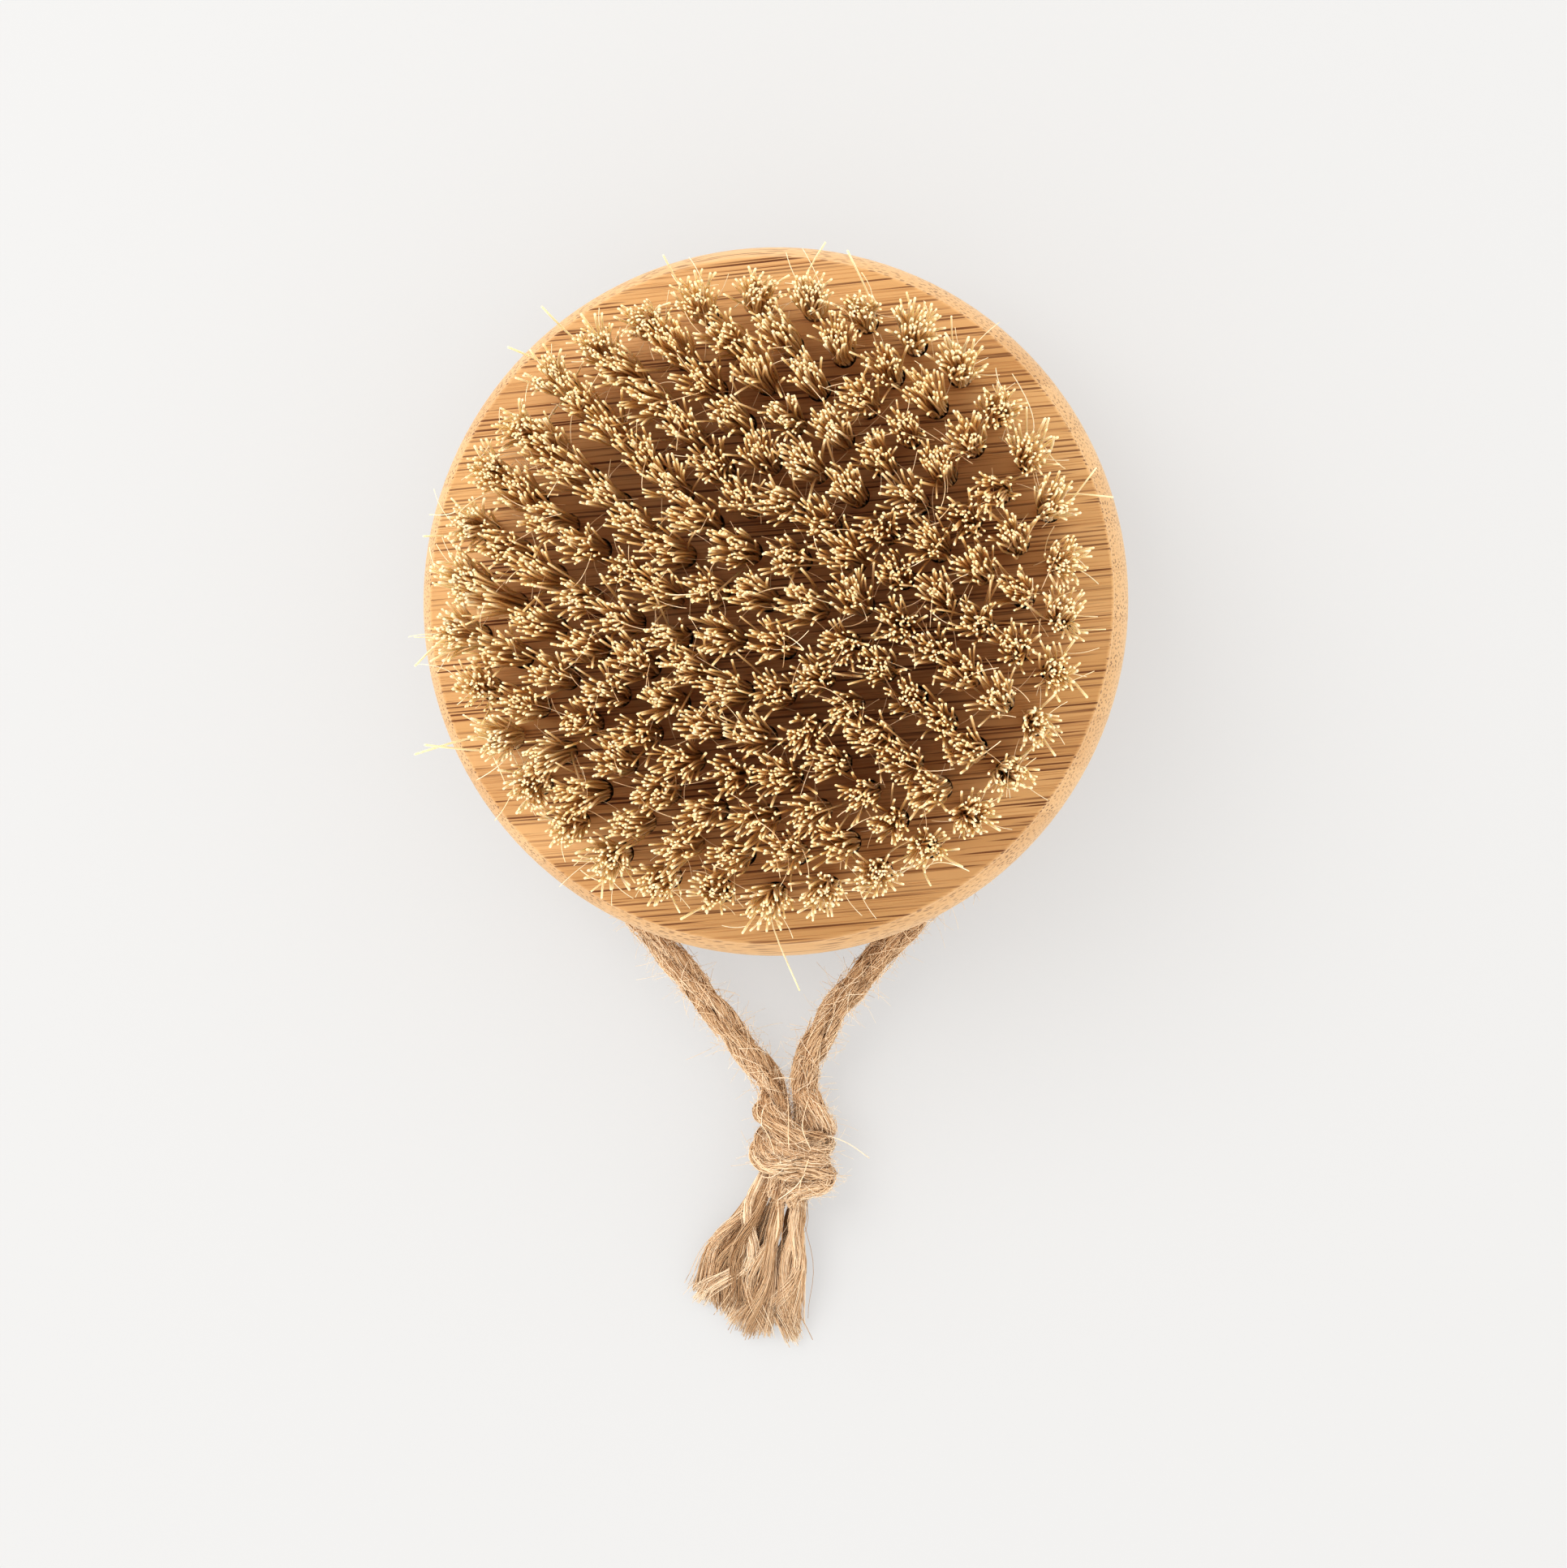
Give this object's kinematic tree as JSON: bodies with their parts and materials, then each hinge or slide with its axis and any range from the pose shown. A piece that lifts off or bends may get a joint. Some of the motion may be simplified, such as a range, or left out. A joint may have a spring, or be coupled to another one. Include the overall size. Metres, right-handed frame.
{
  "type": "body dry brush",
  "caption": "Round palm-sized body brush: turned bamboo block with rings of stiff plant-fibre tufts and a knotted jute hanging rope wrapped in its side groove.",
  "frame": {"origin": "centre of the block's flat back, which lies on the table", "axes": "+Z from the flat back to the bristle tips, the knotted rope loop points along -Y"},
  "size_m": [0.1, 0.157, 0.052],
  "materials": {
    "bamboo": "satin, finely sanded laminated bamboo",
    "bristle": "matte natural plant fibre",
    "anchor_wire": "plain flat wire",
    "jute_rope": "matte, hairy twisted jute"
  },
  "bodies": {
    "brush_head": {"bamboo_block": "bamboo", "bristle_ring_1": "bristle", "bristle_ring_2": "bristle", "bristle_ring_3": "bristle", "bristle_ring_4": "bristle", "bristle_ring_5": "bristle", "bristle_ring_6": "bristle", "bristle_ring_7": "bristle", "centre_tuft": "bristle", "anchors_ring_1": "anchor_wire", "anchors_ring_2": "anchor_wire", "anchors_ring_3": "anchor_wire", "anchors_ring_4": "anchor_wire", "anchors_ring_5": "anchor_wire", "anchors_ring_6": "anchor_wire", "anchors_ring_7": "anchor_wire", "centre_anchor": "anchor_wire"},
    "rope_ring": {"rope_wrap": "jute_rope", "rope_lead_left": "jute_rope", "rope_lead_right": "jute_rope"},
    "hanging_loop": {"rope_strand_left": "jute_rope", "rope_strand_right": "jute_rope", "rope_knot": "jute_rope", "yarn_left_1": "jute_rope", "yarn_left_2": "jute_rope", "yarn_left_3": "jute_rope", "yarn_right_1": "jute_rope", "yarn_right_2": "jute_rope", "yarn_right_3": "jute_rope"}
  },
  "joints": [
    {"name": "rope_turn", "type": "hinge", "parent": "brush_head", "child": "rope_ring", "pos_m": [0, 0, 0.0095], "axis": [0, 0, 1], "continuous": true},
    {"name": "loop_swing", "type": "hinge", "parent": "rope_ring", "child": "hanging_loop", "pos_m": [0, -0.0525, 0.0095], "axis": [-1, 0, 0], "range_deg": [-60, 85]}
  ]
}
